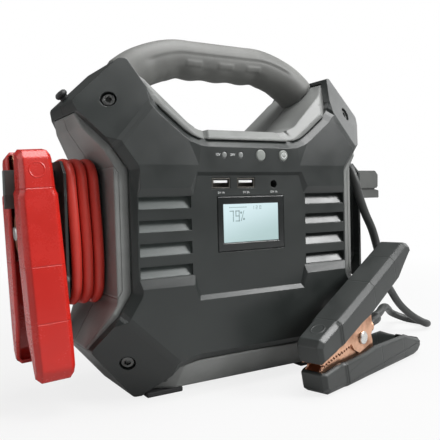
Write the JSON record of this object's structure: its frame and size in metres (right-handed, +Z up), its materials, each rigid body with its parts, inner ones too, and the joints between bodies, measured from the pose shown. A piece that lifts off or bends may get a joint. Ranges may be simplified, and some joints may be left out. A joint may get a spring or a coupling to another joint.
{
  "type": "jump starter pack",
  "caption": "Portable vehicle jump starter: handled case with display panel, side cable brackets with parking tongues, cables and spring clamps.",
  "frame": {"origin": "centre of the pack's footprint on the floor, midway between the covers and between the side brackets", "axes": "+X towards the right side seen from the control panel, +Y from the control panel to the back, +Z up"},
  "size_m": [0.402, 0.1488, 0.2432],
  "materials": {
    "charcoal_plastic": "matte, finely grained",
    "grey_plastic": "satin",
    "grip_plastic": "matte, finely grained",
    "steel": "plain",
    "bezel_plastic": "glossy",
    "window": "clear, lit from behind",
    "lamp_lens": "frosted",
    "button_plastic": "satin",
    "black_plastic": "matte",
    "board": "solder mask",
    "cell_case": "sleeved",
    "copper_parts": "plain copper",
    "rubber_parts": "matte",
    "red_plastic": "satin",
    "red_cable": "satin",
    "clamp_black_plastic": "satin",
    "black_sheath": "satin"
  },
  "bodies": {
    "pack": {"front_cover": "charcoal_plastic", "rear_cover": "charcoal_plastic", "cable_bracket_left": "charcoal_plastic", "cable_bracket_right": "charcoal_plastic", "frame_front": "grey_plastic", "frame_rear": "grey_plastic", "parking_tongue_left": "grey_plastic", "parking_tongue_right": "grey_plastic", "handle_grip": "grip_plastic", "handle_core": "steel", "screw_front_upper_left": "steel", "screw_front_upper_right": "steel", "screw_front_lower_left": "steel", "screw_front_lower_right": "steel", "screw_rear_upper_left": "steel", "screw_rear_upper_right": "steel", "screw_rear_lower_left": "steel", "screw_rear_lower_right": "steel", "usb_socket_1": "steel", "usb_socket_2": "steel", "red_pin": "steel", "black_pin": "steel", "lcd_bezel": "bezel_plastic", "lcd_glass": "window", "led_1": "lamp_lens", "led_2": "lamp_lens", "strap_stud_front": "black_plastic", "strap_stud_rear": "black_plastic", "dc_socket": "black_plastic", "lcd_module": "black_plastic", "switch_override": "black_plastic", "switch_power": "black_plastic", "cell_tray": "black_plastic", "relay": "black_plastic", "control_board": "board", "main_board": "board", "cell_block_left": "cell_case", "cell_block_right": "cell_case", "busbar_positive": "copper_parts", "busbar_negative": "copper_parts", "red_jaw_b": "copper_parts", "black_jaw_b": "copper_parts", "red_lug": "copper_parts", "black_lug": "copper_parts", "foot_left": "rubber_parts", "foot_right": "rubber_parts", "cable_outlet": "rubber_parts", "red_lever_b": "red_plastic", "red_winding": "red_cable", "red_lead": "red_cable", "black_lever_b": "clamp_black_plastic", "black_cable": "black_sheath"},
    "override_button": {"button_override": "button_plastic"},
    "power_button": {"button_power": "button_plastic"},
    "red_upper_half": {"red_lever_a": "red_plastic", "red_jaw_a": "copper_parts", "red_spring": "steel"},
    "black_upper_half": {"black_lever_a": "clamp_black_plastic", "black_jaw_a": "copper_parts", "black_spring": "steel"}
  },
  "joints": [
    {"name": "override_press", "type": "slide", "parent": "pack", "child": "override_button", "axis": [0, 1, 0], "range_m": [0, 0.001], "stiffness_N_per_m": 300, "springref_m": -0.001},
    {"name": "power_press", "type": "slide", "parent": "pack", "child": "power_button", "axis": [0, 1, 0], "range_m": [0, 0.001], "stiffness_N_per_m": 300, "springref_m": -0.001},
    {"name": "red_clamp_hinge", "type": "hinge", "parent": "pack", "child": "red_upper_half", "pos_m": [-0.1378, 0, 0.1105], "axis": [0.9989, 0, 0.0476], "range_deg": [0, 8], "stiffness_Nm_per_rad": 1.2, "springref_deg": -17.19},
    {"name": "black_clamp_hinge", "type": "hinge", "parent": "pack", "child": "black_upper_half", "pos_m": [0.063, -0.0741, 0.02935], "axis": [-0.2939, 0.9558, 0], "range_deg": [0, 22], "stiffness_Nm_per_rad": 1.2, "springref_deg": -17.19}
  ]
}
